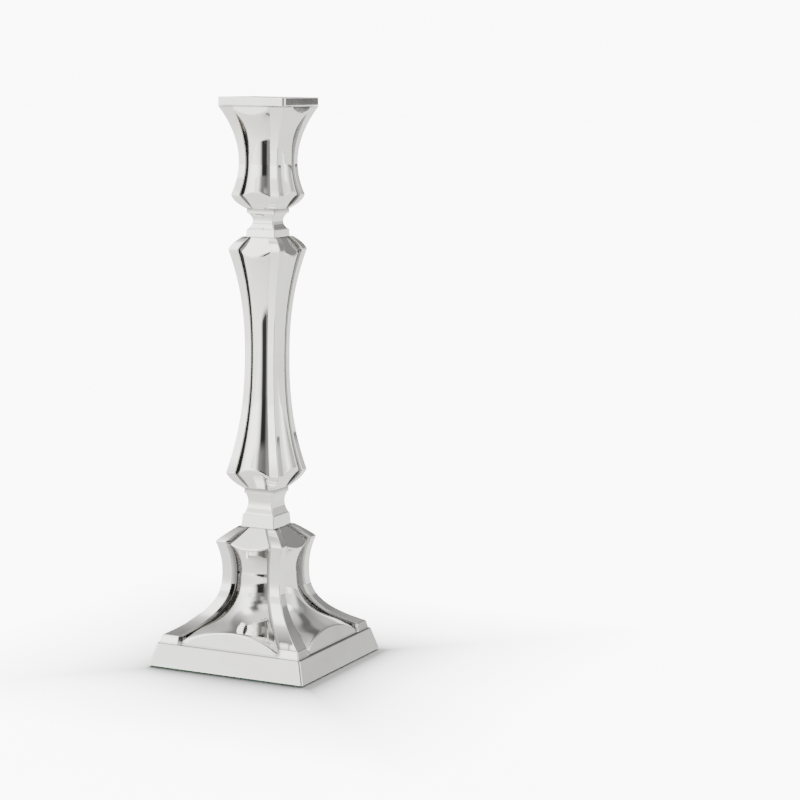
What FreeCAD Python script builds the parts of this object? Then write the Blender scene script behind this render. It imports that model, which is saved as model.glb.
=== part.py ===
"""Square silver-plated candlestick with corner ribs, a lift-out nozzle and a weighted base.

Frame: origin at the centre of the underside of the felt, +Z up, side faces square to X and Y.
Lengths are millimetres.
"""
import FreeCAD
import Part
import math
import os

# ---------------------------------------------------------------- driving dimensions
# Heights of the pieces that stack up, from the table to the rim.
FELT_THICK = 1.0
PLINTH_HEIGHT = 11.85
BELL_HEIGHT = 60.35
LOWER_NECK_HEIGHT = 20.5
SHAFT_HEIGHT = 133.8
UPPER_NECK_HEIGHT = 14.5
SOCKET_HEIGHT = 53.5
SEAT_GAP = 0.15
RIM_THICK = 4.35

# Plinth.
PLINTH_WIDTH = 92.2
PLINTH_BATTER = 3.65
PLINTH_WALL = 2.6
PLINTH_DECK = 2.2
PLINTH_EDGE_ROUND = 0.6
DECK_HOLE_DIA = 62.0

# Bell-shaped base. Half widths are from the axis to a side face of the corner ribs.
BELL_STEP_IN = 0.95
BELL_FOOT_BLOCK = 4.1
BELL_FOOT_LEAN = 1.1
BELL_WAIST_HEIGHT = 37.0
BELL_WAIST_HALF = 17.3
BELL_SHOULDER_HEIGHT = 52.95
BELL_SHOULDER_HALF = 20.0
BELL_SEAT_HALF = 11.3
BELL_SHOULDER_BULGE = 0.4
BELL_PANEL_FOOT = 30.6
BELL_PANEL_WAIST = 11.4
BELL_PANEL_SHOULDER = 13.9
BELL_PANEL_SEAT = 6.9
BELL_BODY_WAIST_R = 16.5
BELL_BODY_FOOT_R = 51.0
BELL_BODY_SHOULDER_R = 22.9
LUNETTE_RECESS = 0.9
BELL_CREASE_DROP = 3.1
LEDGE_DEPTH = 3.0
LEDGE_WIDTH = 0.9
BELL_WALL = 2.0
BELL_TOP_THICK = 4.0

# Shaft.
SHAFT_WAIST_HEIGHT = 71.3
SHAFT_WAIST_HALF = 8.87
SHAFT_LOW_EDGE_HEIGHT = 8.7
SHAFT_LOW_EDGE_HALF = 16.0
SHAFT_HIGH_EDGE_HEIGHT = 126.9
SHAFT_HIGH_EDGE_HALF = 15.4
SHAFT_FOOT_HALF = 9.3
SHAFT_TOP_HALF = 9.9
SHAFT_EDGE_BULGE = 0.9
SHAFT_PANEL_WAIST = 4.9
SHAFT_PANEL_LOW = 10.4
SHAFT_PANEL_HIGH = 9.6
SHAFT_PANEL_END = 5.6
SHAFT_BODY_WAIST_R = 9.25
SHAFT_BODY_LOW_R = 17.3
SHAFT_BODY_HIGH_R = 16.4
SHAFT_LOW_CREASE_RISE = 2.2
SHAFT_HIGH_CREASE_DROP = 2.9
SHAFT_WALL = 1.9
SHAFT_END_THICK = 5.0

# Socket.
SOCKET_WAIST_HEIGHT = 24.5
SOCKET_WAIST_HALF = 11.5
SOCKET_EDGE_HEIGHT = 7.5
SOCKET_EDGE_HALF = 14.4
SOCKET_FOOT_HALF = 8.6
SOCKET_EDGE_BULGE = 1.2
SOCKET_PANEL_WAIST = 7.1
SOCKET_PANEL_EDGE = 9.2
SOCKET_PANEL_FOOT = 4.6
SOCKET_PANEL_TOP = 11.2
SOCKET_BODY_WAIST_R = 12.3
SOCKET_BODY_EDGE_R = 15.3
SOCKET_BODY_TOP_R = 24.3
SOCKET_CREASE_RISE = 1.5
LENS_RECESS = 0.2
SOCKET_FLOOR_THICK = 7.0
SOCKET_WELL_R = 10.4

# Square necks: plates and waists.
LOWER_NECK_BLOCK_HALF = 9.85
LOWER_NECK_BLOCK_TOP_HALF = 9.35
LOWER_NECK_BLOCK_HEIGHT = 6.4
LOWER_NECK_WAIST_HALF = 7.3
LOWER_NECK_WAIST_HEIGHT = 13.0
LOWER_NECK_PLATE_HALF = 8.85
LOWER_NECK_PLATE_THICK = 2.7
UPPER_NECK_BLOCK_HALF = 8.6
UPPER_NECK_BLOCK_TOP_HALF = 8.4
UPPER_NECK_BLOCK_HEIGHT = 3.8
UPPER_NECK_WAIST_HALF = 6.0
UPPER_NECK_WAIST_HEIGHT = 8.1
UPPER_NECK_PLATE_HALF = 8.35
UPPER_NECK_PLATE_THICK = 2.3
NECK_FILLET = 0.45
SPIGOT_R = 4.8
SPIGOT_LENGTH = 3.0
SPIGOT_PLAY = 0.05

# Lift-out nozzle: square rim with a round candle cup.
RIM_HALF = 19.6
RIM_CORNER_R = 1.5
PAN_DEPTH = 1.0
PAN_BORDER = 2.6
CANDLE_BORE_R = 11.0
CUP_WALL = 0.5
CUP_DEPTH = 21.7
CUP_FLOOR = 0.8
CUP_LIP = 0.8
CUP_LIP_THICK = 0.9
CUP_SIDE_PLAY = 0.3
CUP_BOTTOM_PLAY = 1.5

# Tie rod, nuts and washers (M6), base weight and closing plate.
ROD_R = 3.0
ROD_HOLE_PLAY = 0.3
ROD_STAND_OUT = 2.4
ROD_CHAMFER = 0.5
NUT_ACROSS_FLATS = 10.0
NUT_HEIGHT = 5.0
WASHER_R = 6.0
WASHER_THICK = 1.6
WEIGHT_SIDE_PLAY = 1.2
WEIGHT_BOSS_PLAY = 0.8
WEIGHT_BOSS_RISE = 6.0
WEIGHT_CONE_RISE = 9.0
WEIGHT_CONE_TOP_R = 16.0
NUT_POCKET_R = 9.0
PLATE_THICK = 1.5
PLATE_SIDE_PLAY = 0.5
SCREW_R = 1.5
SCREW_HEAD_R = 2.9
SCREW_LENGTH = 6.0
SCREW_PITCH_HALF = 30.0
SCREW_PLAY = 0.05
FELT_INSET = 0.9

# Levels that follow from the stack.
PLINTH_Z = FELT_THICK
BELL_Z = PLINTH_Z + PLINTH_HEIGHT
LOWER_NECK_Z = BELL_Z + BELL_HEIGHT
SHAFT_Z = LOWER_NECK_Z + LOWER_NECK_HEIGHT
UPPER_NECK_Z = SHAFT_Z + SHAFT_HEIGHT
SOCKET_Z = UPPER_NECK_Z + UPPER_NECK_HEIGHT
SOCKET_TOP_Z = SOCKET_Z + SOCKET_HEIGHT
RIM_Z = SOCKET_TOP_Z + SEAT_GAP
TOP_Z = RIM_Z + RIM_THICK

PLINTH_HALF = PLINTH_WIDTH / 2
PLINTH_TOP_HALF = PLINTH_HALF - PLINTH_BATTER
BATTER_SLOPE = PLINTH_BATTER / PLINTH_HEIGHT
BELL_FOOT_HALF = PLINTH_TOP_HALF - BELL_STEP_IN
CUP_OUTER_R = CANDLE_BORE_R + CUP_WALL
CUP_BOTTOM_Z = TOP_Z - CUP_DEPTH - CUP_FLOOR
ROD_HOLE_R = ROD_R + ROD_HOLE_PLAY

REACH = 150.0        # longer than any half width, for cutting tools
OVERCUT = 1.0        # how far a cutting tool runs past a face
FLARE_POINTS = 9

# Spread of the round bell from its waist (0) to the plinth (1), by share of that height.
BELL_BODY_SPREAD = [(0.0, 0.0), (0.27, 0.03), (0.43, 0.105), (0.565, 0.226), (0.673, 0.397),
                    (0.783, 0.652), (0.891, 0.855), (1.0, 1.0)]


# ---------------------------------------------------------------- outlines and solids
# An outline is a list of stretches; a stretch is a list of (height, half width) pairs.
def flare(waist_z, waist_half, end_z, end_half, power, reach_z=None):
    """Stretch that leaves a waist upright and spreads to an edge; reach_z carries it on."""
    last_z = end_z if reach_z is None else reach_z
    points = []
    for i in range(FLARE_POINTS):
        z = waist_z + (last_z - waist_z) * i / (FLARE_POINTS - 1)
        share = (z - waist_z) / (end_z - waist_z)
        points.append((z, waist_half + (end_half - waist_half) * share ** power))
    return sorted(points)


def joined(lower, upper):
    """One smooth stretch from two that meet at a waist."""
    return lower[:-1] + upper


def bulged(start, end, bulge):
    """Stretch between two points, bowed outwards in the middle."""
    middle = ((start[0] + end[0]) / 2, (start[1] + end[1]) / 2 + bulge)
    return [start, middle, end]


def height_at(stretch, z):
    """Half width of a stretch at a height, between its points."""
    for (z0, h0), (z1, h1) in zip(stretch, stretch[1:]):
        if z0 <= z <= z1:
            return h0 + (h1 - h0) * (z - z0) / (z1 - z0)
    raise ValueError("height outside the stretch")


def edge_through(points):
    """Straight edge through two points, smooth edge through more."""
    if len(points) == 2:
        return Part.LineSegment(points[0], points[1]).toShape()
    curve = Part.BSplineCurve()
    curve.interpolate(points)
    return curve.toShape()


def side_edges(outline, sign):
    """Edges of an outline in the XZ plane, bottom to top, with the ledges between stretches."""
    edges = []
    last = None
    for stretch in outline:
        points = [FreeCAD.Vector(sign * half, 0, z) for z, half in stretch]
        if last is not None and last.distanceToPoint(points[0]) > 1e-6:
            edges.append(Part.LineSegment(last, points[0]).toShape())
        edges.append(edge_through(points))
        last = points[-1]
    return edges


def closed_face(edges, start, end):
    """Face of an outline's edges closed by the straight lines through start and end."""
    return Part.Face(Part.Wire(Part.__sortEdges__(edges + [
        Part.LineSegment(start[0], start[1]).toShape(),
        Part.LineSegment(end[0], end[1]).toShape()])))


def slab(outline):
    """The outline mirrored about the axis and drawn out along Y."""
    z0, h0 = outline[0][0]
    z1, h1 = outline[-1][-1]
    bottom = (FreeCAD.Vector(-h0, 0, z0), FreeCAD.Vector(h0, 0, z0))
    top = (FreeCAD.Vector(-h1, 0, z1), FreeCAD.Vector(h1, 0, z1))
    face = closed_face(side_edges(outline, 1) + side_edges(outline, -1), bottom, top)
    face.translate(FreeCAD.Vector(0, -REACH, 0))
    return face.extrude(FreeCAD.Vector(0, 2 * REACH, 0))


def quarter_turned(shape):
    """Copy of a shape turned a quarter about the axis."""
    turned = shape.copy()
    turned.rotate(FreeCAD.Vector(0, 0, 0), FreeCAD.Vector(0, 0, 1), 90)
    return turned


def square_solid(outline):
    """Solid of square section whose four sides follow the outline."""
    side = slab(outline)
    return side.common(quarter_turned(side))


def round_solid(outline):
    """Solid turned about the axis from the outline."""
    z0, h0 = outline[0][0]
    z1, h1 = outline[-1][-1]
    base, head = FreeCAD.Vector(0, 0, z0), FreeCAD.Vector(0, 0, z1)
    edges = side_edges(outline, 1) + [Part.LineSegment(base, head).toShape()]
    face = closed_face(edges, (base, FreeCAD.Vector(h0, 0, z0)), (head, FreeCAD.Vector(h1, 0, z1)))
    return face.revolve(FreeCAD.Vector(0, 0, 0), FreeCAD.Vector(0, 0, 1), 360)


def cylinder(radius, z0, z1, x=0.0, y=0.0):
    """Upright cylinder between two heights."""
    return Part.makeCylinder(radius, z1 - z0, FreeCAD.Vector(x, y, z0))


def cone(r0, r1, z0, z1, x=0.0, y=0.0):
    """Upright cone between two heights."""
    return Part.makeCone(r0, r1, z1 - z0, FreeCAD.Vector(x, y, z0))


def square_block(half, z0, z1):
    """Square block centred on the axis."""
    return Part.makeBox(2 * half, 2 * half, z1 - z0, FreeCAD.Vector(-half, -half, z0))


def ribbed_solid(rib, panel, body, limit, ledge=None):
    """Round body held inside the limit, with four mitred ribs left outside the panels."""
    def corner_ribs(rib_outline, panel_outline):
        gap = slab(panel_outline)
        return square_solid(rib_outline).cut(gap).cut(quarter_turned(gap))

    solid = round_solid(body).common(square_solid(limit)).fuse(corner_ribs(rib, panel))
    if ledge is not None:
        solid = solid.fuse(corner_ribs(*ledge))
    return solid.removeSplitter()


def shifted(outline, inwards):
    """Outline moved towards the axis."""
    return [[(z, half - inwards) for z, half in stretch] for stretch in outline]


def crossing(line_a, line_b):
    """Point where two (height, half width) lines meet."""
    (za, ha), (zb, hb) = line_a
    (zc, hc), (zd, hd) = line_b
    slope_a = (hb - ha) / (zb - za)
    slope_b = (hd - hc) / (zd - zc)
    z = (hc - ha + slope_a * za - slope_b * zc) / (slope_a - slope_b)
    return z, ha + slope_a * (z - za)


def carried(line, z):
    """Half width of a straight line carried on to a height."""
    (za, ha), (zb, hb) = line
    return ha + (hb - ha) * (z - za) / (zb - za)


def save(name, shape):
    """Write one sub-part."""
    solids = shape.Solids
    if not solids or not shape.isValid():
        raise RuntimeError(name + " is not a valid solid")
    result = solids[0] if len(solids) == 1 else Part.makeCompound(solids)
    result.exportStep(os.path.join("parts", name + ".step"))


# ---------------------------------------------------------------- bell
BELL_WAIST_Z = BELL_Z + BELL_WAIST_HEIGHT
BELL_SHOULDER_Z = BELL_Z + BELL_SHOULDER_HEIGHT
BELL_BLOCK_TOP_Z = BELL_Z + BELL_FOOT_BLOCK
BELL_BLOCK_TOP_HALF = BELL_FOOT_HALF - BELL_FOOT_LEAN
BELL_LOW_POWER = 2.8
BELL_HIGH_POWER = 2.0


def bell_body_outline(inwards=0.0):
    """Round trumpet of the bell, from the plinth to its top."""
    low = []
    for share, spread in BELL_BODY_SPREAD:
        z = BELL_WAIST_Z - share * (BELL_WAIST_Z - BELL_Z)
        low.append((z, BELL_BODY_WAIST_R + spread * (BELL_BODY_FOOT_R - BELL_BODY_WAIST_R)))
    high = flare(BELL_WAIST_Z, BELL_BODY_WAIST_R, BELL_SHOULDER_Z, BELL_BODY_SHOULDER_R,
                 BELL_HIGH_POWER, LOWER_NECK_Z)
    return shifted([joined(sorted(low), high)], inwards)


def bell_limit_outline():
    """Battered lunettes at the foot and the sloping tongues of the shoulder."""
    crease_z = BELL_SHOULDER_Z - BELL_CREASE_DROP
    crease_r = height_at(bell_body_outline()[0], crease_z)
    foot = (BELL_Z, BELL_FOOT_HALF - LUNETTE_RECESS)
    batter = [foot, (foot[0] + 1.0, foot[1] - BATTER_SLOPE)]
    tongue = [(crease_z, crease_r), (LOWER_NECK_Z, LOWER_NECK_BLOCK_HALF)]
    apex = crossing(batter, tongue)
    return [[foot, apex], [apex, tongue[1]]]


def bell_rib_outline():
    """Side of the corner ribs: upright foot, sweep to the shoulder, slope to the neck."""
    low = flare(BELL_WAIST_Z, BELL_WAIST_HALF, BELL_BLOCK_TOP_Z, BELL_BLOCK_TOP_HALF,
                BELL_LOW_POWER)
    high = flare(BELL_WAIST_Z, BELL_WAIST_HALF, BELL_SHOULDER_Z, BELL_SHOULDER_HALF,
                 BELL_HIGH_POWER)
    shoulder = bulged(high[-1], (LOWER_NECK_Z, BELL_SEAT_HALF), BELL_SHOULDER_BULGE)
    return [[(BELL_Z, BELL_FOOT_HALF), low[0]], joined(low, high), shoulder]


def bell_panel_outline():
    """Half width of the panels between the ribs."""
    low = flare(BELL_WAIST_Z, BELL_PANEL_WAIST, BELL_BLOCK_TOP_Z, BELL_PANEL_FOOT,
                BELL_LOW_POWER)
    high = flare(BELL_WAIST_Z, BELL_PANEL_WAIST, BELL_SHOULDER_Z, BELL_PANEL_SHOULDER,
                 BELL_HIGH_POWER)
    seat = (LOWER_NECK_Z, BELL_PANEL_SEAT)
    return [[(BELL_Z, BELL_PANEL_FOOT), low[0]], joined(low, high), [high[-1], seat]]


def bell_cavity():
    """Hollow that follows the round body inside the wall and the shoulder."""
    roof_z = LOWER_NECK_Z - BELL_TOP_THICK
    body = bell_body_outline()[0]
    limit = bell_limit_outline()
    points = []
    for z, radius in body:
        if z < BELL_SHOULDER_Z - BELL_CREASE_DROP:
            points.append((z, min(radius, carried(limit[0], z)) - BELL_WALL))
    crease_z = BELL_SHOULDER_Z - BELL_CREASE_DROP
    upper = [(crease_z, carried(limit[1], crease_z) - 2 * BELL_WALL),
             (roof_z, carried(limit[1], roof_z) - 2 * BELL_WALL)]
    return round_solid([[point, follower] for point, follower in
                        zip(points + upper[:1], points[1:] + upper)])


def spigot_hole(z, direction, play=SPIGOT_PLAY):
    """Hole that takes a neck's spigot, opening at z and going in along direction."""
    far = z + direction * (SPIGOT_LENGTH + play)
    near = z - direction * OVERCUT
    return cylinder(SPIGOT_R + play, min(far, near), max(far, near))


def make_bell():
    """Bell-shaped base: ribs with a ledge beside each panel, hollow below."""
    rib = bell_rib_outline()
    panel = bell_panel_outline()
    ledge = (shifted(rib, LEDGE_DEPTH), shifted(panel, LEDGE_WIDTH))
    solid = ribbed_solid(rib, panel, bell_body_outline(), bell_limit_outline(), ledge)
    solid = solid.cut(bell_cavity())
    solid = solid.cut(cylinder(ROD_HOLE_R, BELL_Z, LOWER_NECK_Z + OVERCUT))
    return solid.cut(spigot_hole(LOWER_NECK_Z, -1))


# ---------------------------------------------------------------- shaft
SHAFT_WAIST_Z = SHAFT_Z + SHAFT_WAIST_HEIGHT
SHAFT_LOW_Z = SHAFT_Z + SHAFT_LOW_EDGE_HEIGHT
SHAFT_HIGH_Z = SHAFT_Z + SHAFT_HIGH_EDGE_HEIGHT
SHAFT_POWER = 2.3


def shaft_curve(waist, low, high, reach=False):
    """Waisted stretch of the shaft, carried on to both ends if asked."""
    low_end = SHAFT_Z if reach else None
    high_end = UPPER_NECK_Z if reach else None
    return joined(flare(SHAFT_WAIST_Z, waist, SHAFT_LOW_Z, low, SHAFT_POWER, low_end),
                  flare(SHAFT_WAIST_Z, waist, SHAFT_HIGH_Z, high, SHAFT_POWER, high_end))


def shaft_body_outline(reach=True):
    """Round body of the shaft."""
    return [shaft_curve(SHAFT_BODY_WAIST_R, SHAFT_BODY_LOW_R, SHAFT_BODY_HIGH_R, reach)]


def shaft_rib_outline():
    """Side of the shaft's corner ribs."""
    sweep = shaft_curve(SHAFT_WAIST_HALF, SHAFT_LOW_EDGE_HALF, SHAFT_HIGH_EDGE_HALF)
    return [bulged((SHAFT_Z, SHAFT_FOOT_HALF), sweep[0], SHAFT_EDGE_BULGE), sweep,
            bulged(sweep[-1], (UPPER_NECK_Z, SHAFT_TOP_HALF), SHAFT_EDGE_BULGE)]


def shaft_panel_outline():
    """Half width of the shaft's panels."""
    sweep = shaft_curve(SHAFT_PANEL_WAIST, SHAFT_PANEL_LOW, SHAFT_PANEL_HIGH)
    return [[(SHAFT_Z, SHAFT_PANEL_END), sweep[0]], sweep,
            [sweep[-1], (UPPER_NECK_Z, SHAFT_PANEL_END)]]


def shaft_limit_outline():
    """Sloping tongues at both ends of the shaft."""
    body = shaft_body_outline()[0]
    low_z = SHAFT_LOW_Z + SHAFT_LOW_CREASE_RISE
    high_z = SHAFT_HIGH_Z - SHAFT_HIGH_CREASE_DROP
    low = [(SHAFT_Z, LOWER_NECK_PLATE_HALF), (low_z, height_at(body, low_z))]
    high = [(high_z, height_at(body, high_z)), (UPPER_NECK_Z, UPPER_NECK_BLOCK_HALF)]
    apex = crossing(low, high)
    return [[low[0], apex], [apex, high[1]]]


def make_shaft():
    """Hollow ribbed shaft with a spigot hole at each end."""
    solid = ribbed_solid(shaft_rib_outline(), shaft_panel_outline(), shaft_body_outline(),
                         shaft_limit_outline())
    inside = shifted(shaft_body_outline(reach=False), SHAFT_WALL)
    keep = cylinder(REACH, SHAFT_LOW_Z + SHAFT_LOW_CREASE_RISE,
                    SHAFT_HIGH_Z - SHAFT_HIGH_CREASE_DROP)
    solid = solid.cut(round_solid(inside).common(keep))
    solid = solid.cut(cylinder(SPIGOT_R + SPIGOT_PLAY, SHAFT_Z - OVERCUT,
                               UPPER_NECK_Z + OVERCUT))
    return solid


# ---------------------------------------------------------------- socket
SOCKET_WAIST_Z = SOCKET_Z + SOCKET_WAIST_HEIGHT
SOCKET_EDGE_Z = SOCKET_Z + SOCKET_EDGE_HEIGHT
SOCKET_POWER = 2.0
SOCKET_BODY_TOP_POWER = 3.0


def socket_curve(waist, edge, top, top_power=SOCKET_POWER):
    """Waisted stretch of the socket from its lower edge to its top."""
    return joined(flare(SOCKET_WAIST_Z, waist, SOCKET_EDGE_Z, edge, SOCKET_POWER),
                  flare(SOCKET_WAIST_Z, waist, SOCKET_TOP_Z, top, top_power))


def socket_body_outline():
    """Round body of the socket."""
    low = flare(SOCKET_WAIST_Z, SOCKET_BODY_WAIST_R, SOCKET_EDGE_Z, SOCKET_BODY_EDGE_R,
                SOCKET_POWER, SOCKET_Z)
    high = flare(SOCKET_WAIST_Z, SOCKET_BODY_WAIST_R, SOCKET_TOP_Z, SOCKET_BODY_TOP_R,
                 SOCKET_BODY_TOP_POWER)
    return [joined(low, high)]


def socket_limit_outline():
    """Upright lens panels under the rim and the tongues of the bowl."""
    crease_z = SOCKET_EDGE_Z + SOCKET_CREASE_RISE
    crease_r = height_at(socket_body_outline()[0], crease_z)
    tongue = [(SOCKET_Z, UPPER_NECK_PLATE_HALF), (crease_z, crease_r)]
    lens = [(crease_z, RIM_HALF - LENS_RECESS), (SOCKET_TOP_Z, RIM_HALF - LENS_RECESS)]
    apex = crossing(tongue, lens)
    return [[tongue[0], apex], [apex, lens[1]]]


def make_socket():
    """Vase-shaped socket: ribs, lens panels, a bored seat for the cup and a nut well."""
    sweep = socket_curve(SOCKET_WAIST_HALF, SOCKET_EDGE_HALF, RIM_HALF)
    rib = [bulged((SOCKET_Z, SOCKET_FOOT_HALF), sweep[0], SOCKET_EDGE_BULGE), sweep]
    panel_sweep = socket_curve(SOCKET_PANEL_WAIST, SOCKET_PANEL_EDGE, SOCKET_PANEL_TOP)
    panel = [[(SOCKET_Z, SOCKET_PANEL_FOOT), panel_sweep[0]], panel_sweep]
    solid = ribbed_solid(rib, panel, socket_body_outline(), socket_limit_outline())
    well_floor = SOCKET_Z + SOCKET_FLOOR_THICK
    seat_floor = CUP_BOTTOM_Z - CUP_BOTTOM_PLAY
    solid = solid.cut(cylinder(SOCKET_WELL_R, well_floor, SOCKET_TOP_Z + OVERCUT))
    solid = solid.cut(cylinder(CUP_OUTER_R + CUP_SIDE_PLAY, seat_floor,
                               SOCKET_TOP_Z + OVERCUT))
    solid = solid.cut(cylinder(ROD_HOLE_R, SOCKET_Z - OVERCUT, well_floor + OVERCUT))
    return solid.cut(spigot_hole(SOCKET_Z, 1))


# ---------------------------------------------------------------- necks
def neck_outline(z, block_half, block_top_half, block_height, waist_half, waist_height,
                 plate_half, plate_thick, height):
    """Block below, hollow waist, plate above."""
    block_top = (z + block_height, block_top_half - NECK_FILLET)
    plate_low = (z + height - plate_thick, plate_half - NECK_FILLET)
    waist_z = z + waist_height
    low = flare(waist_z, waist_half, block_top[0], block_top[1], SOCKET_POWER)
    high = flare(waist_z, waist_half, plate_low[0], plate_low[1], SOCKET_POWER)
    return [[(z, block_half), (block_top[0], block_top_half)], joined(low, high),
            [(plate_low[0], plate_half), (z + height, plate_half)]]


def make_neck(outline):
    """Square neck with a spigot at each end, bored for the tie rod."""
    z0 = outline[0][0][0]
    z1 = outline[-1][-1][0]
    solid = square_solid(outline)
    solid = solid.fuse(cylinder(SPIGOT_R, z0 - SPIGOT_LENGTH, z1 + SPIGOT_LENGTH))
    return solid.cut(cylinder(ROD_HOLE_R, z0 - SPIGOT_LENGTH - OVERCUT,
                              z1 + SPIGOT_LENGTH + OVERCUT)).removeSplitter()


def make_lower_neck():
    """Taller knop on a square block, between bell and shaft."""
    return make_neck(neck_outline(
        LOWER_NECK_Z, LOWER_NECK_BLOCK_HALF, LOWER_NECK_BLOCK_TOP_HALF,
        LOWER_NECK_BLOCK_HEIGHT, LOWER_NECK_WAIST_HALF, LOWER_NECK_WAIST_HEIGHT,
        LOWER_NECK_PLATE_HALF, LOWER_NECK_PLATE_THICK, LOWER_NECK_HEIGHT))


def make_upper_neck():
    """Short knop between shaft and socket."""
    return make_neck(neck_outline(
        UPPER_NECK_Z, UPPER_NECK_BLOCK_HALF, UPPER_NECK_BLOCK_TOP_HALF,
        UPPER_NECK_BLOCK_HEIGHT, UPPER_NECK_WAIST_HALF, UPPER_NECK_WAIST_HEIGHT,
        UPPER_NECK_PLATE_HALF, UPPER_NECK_PLATE_THICK, UPPER_NECK_HEIGHT))


# ---------------------------------------------------------------- nozzle
def upright_edges(shape, least):
    """Vertical straight edges at least so far from the axis in both directions."""
    found = []
    for edge in shape.Edges:
        low, high = edge.BoundBox.ZMin, edge.BoundBox.ZMax
        x, y = edge.CenterOfMass.x, edge.CenterOfMass.y
        if high - low > 0.9 * shape.BoundBox.ZLength and min(abs(x), abs(y)) > least:
            found.append(edge)
    return found


def make_rim():
    """Square drip plate with rounded corners, a shallow pan and a hole for the cup."""
    block = square_block(RIM_HALF, RIM_Z, TOP_Z)
    block = block.makeFillet(RIM_CORNER_R, upright_edges(block, RIM_HALF / 2))
    pan_half = RIM_HALF - PAN_BORDER
    pan = square_solid([[(TOP_Z - PAN_DEPTH, pan_half - PAN_DEPTH),
                         (TOP_Z + OVERCUT, pan_half + OVERCUT)]])
    return block.cut(pan).cut(cylinder(CUP_OUTER_R, RIM_Z - OVERCUT, TOP_Z + OVERCUT))


def make_cup():
    """Round cup for the candle, with a turned-out lip that lies on the pan."""
    pan_z = TOP_Z - PAN_DEPTH
    lip = cylinder(CUP_OUTER_R + CUP_LIP, pan_z, pan_z + CUP_LIP_THICK)
    cup = cylinder(CUP_OUTER_R, CUP_BOTTOM_Z, TOP_Z).fuse(lip)
    return cup.cut(cylinder(CANDLE_BORE_R, CUP_BOTTOM_Z + CUP_FLOOR,
                            TOP_Z + OVERCUT)).removeSplitter()


# ---------------------------------------------------------------- plinth and base
WEIGHT_TOP_Z = BELL_Z - PLINTH_DECK
PLATE_Z = PLINTH_Z
WEIGHT_Z = PLATE_Z + PLATE_THICK
INNER_HALF = PLINTH_TOP_HALF - PLINTH_WALL


def make_plinth():
    """Battered square plinth, hollow below, with a round hole in its deck."""
    outer = square_solid([[(PLINTH_Z, PLINTH_HALF), (BELL_Z, PLINTH_TOP_HALF)]])
    slanted = [edge for edge in outer.Edges if edge.BoundBox.ZLength > PLINTH_HEIGHT / 2]
    top_ring = [edge for edge in outer.Edges if edge.BoundBox.ZMin > BELL_Z - OVERCUT]
    outer = outer.makeFillet(PLINTH_EDGE_ROUND, slanted + top_ring)
    inner = square_block(INNER_HALF, PLINTH_Z - OVERCUT, WEIGHT_TOP_Z)
    hole = cylinder(DECK_HOLE_DIA / 2, PLINTH_Z, BELL_Z + OVERCUT)
    return outer.cut(inner).cut(hole)


def screw_places():
    """Centres of the four closing screws."""
    return [(x * SCREW_PITCH_HALF, y * SCREW_PITCH_HALF) for x in (-1, 1) for y in (-1, 1)]


def make_weight():
    """Cast weight: square block in the plinth, boss and cone up into the bell."""
    boss_r = DECK_HOLE_DIA / 2 - WEIGHT_BOSS_PLAY
    boss_z = BELL_Z + WEIGHT_BOSS_RISE
    solid = square_block(INNER_HALF - WEIGHT_SIDE_PLAY, WEIGHT_Z, WEIGHT_TOP_Z)
    solid = solid.fuse(cylinder(boss_r, WEIGHT_Z, boss_z))
    solid = solid.fuse(cone(boss_r, WEIGHT_CONE_TOP_R, boss_z, boss_z + WEIGHT_CONE_RISE))
    solid = solid.cut(cylinder(ROD_HOLE_R, WEIGHT_Z, boss_z + WEIGHT_CONE_RISE + OVERCUT))
    solid = solid.cut(cylinder(NUT_POCKET_R, WEIGHT_Z - OVERCUT, pocket_roof()))
    for x, y in screw_places():
        solid = solid.cut(cylinder(SCREW_R + SCREW_PLAY, WEIGHT_Z - OVERCUT,
                                   PLATE_Z + SCREW_LENGTH + SCREW_PLAY, x, y))
    return solid.removeSplitter()


def pocket_roof():
    """Height that the lower washer bears against."""
    return WEIGHT_Z + ROD_STAND_OUT + NUT_HEIGHT + WASHER_THICK


def make_plate():
    """Steel sheet that closes the plinth, countersunk for its screws."""
    solid = square_block(INNER_HALF - PLATE_SIDE_PLAY, PLATE_Z, WEIGHT_Z)
    for x, y in screw_places():
        solid = solid.cut(screw_solid(x, y, SCREW_PLAY))
    return solid


def screw_solid(x, y, play=0.0):
    """Countersunk screw, head down, grown by the play."""
    sink = SCREW_HEAD_R - SCREW_R
    head = cone(SCREW_HEAD_R + play, SCREW_R + play, PLATE_Z, PLATE_Z + sink, x, y)
    return head.fuse(cylinder(SCREW_R + play, PLATE_Z, PLATE_Z + SCREW_LENGTH, x, y))


def make_screws():
    """The four closing screws."""
    return Part.makeCompound([screw_solid(x, y) for x, y in screw_places()])


def make_felt():
    """Baize pad under the plinth."""
    return square_block(PLINTH_HALF - FELT_INSET, 0.0, FELT_THICK)


# ---------------------------------------------------------------- tie rod and its fastenings
UPPER_WASHER_Z = SOCKET_Z + SOCKET_FLOOR_THICK


def make_rod():
    """Steel rod through the whole stack, chamfered at both ends."""
    low = pocket_roof() - WASHER_THICK - NUT_HEIGHT - ROD_STAND_OUT + ROD_CHAMFER
    high = UPPER_WASHER_Z + WASHER_THICK + NUT_HEIGHT + ROD_STAND_OUT
    rod = cylinder(ROD_R, low, high)
    rims = [edge for edge in rod.Edges if edge.Closed]
    return rod.makeChamfer(ROD_CHAMFER, rims)


def make_washer(z):
    """Round washer lying at z."""
    return cylinder(WASHER_R, z, z + WASHER_THICK).cut(
        cylinder(ROD_HOLE_R, z - OVERCUT, z + WASHER_THICK + OVERCUT))


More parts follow.
